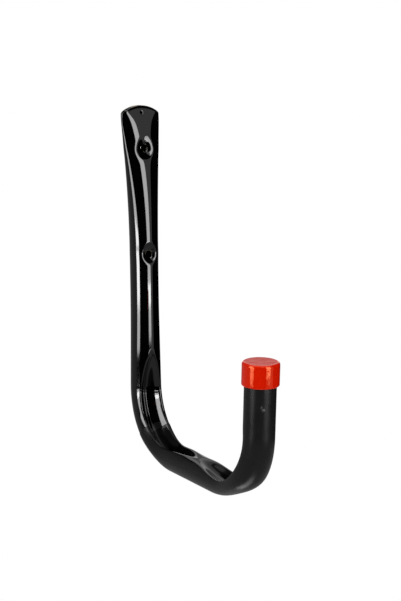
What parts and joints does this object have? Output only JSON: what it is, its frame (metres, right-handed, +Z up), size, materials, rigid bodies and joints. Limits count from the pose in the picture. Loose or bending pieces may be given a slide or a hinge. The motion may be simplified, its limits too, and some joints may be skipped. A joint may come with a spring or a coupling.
{
  "type": "wall utility hook",
  "caption": "Bent tube wall hook with a flattened, dimpled screw end, press-grooved bends, a thin arm sleeve and a slip-on tip cap, for hanging long tools and hoses.",
  "frame": {"origin": "on the shank's axis, midway between the two screw holes", "axes": "+Z up along the shank, -Y out from the wall towards the hook's front, X across; the wall lies on the +Y side"},
  "size_m": [0.0364, 0.2226, 0.3134],
  "materials": {
    "tube_paint": "gloss",
    "sleeve_coat": "satin",
    "cap_vinyl": "gloss"
  },
  "bodies": {
    "root": {"hook_tube": "tube_paint", "arm_sleeve": "sleeve_coat", "end_cap": "cap_vinyl"}
  },
  "joints": []
}
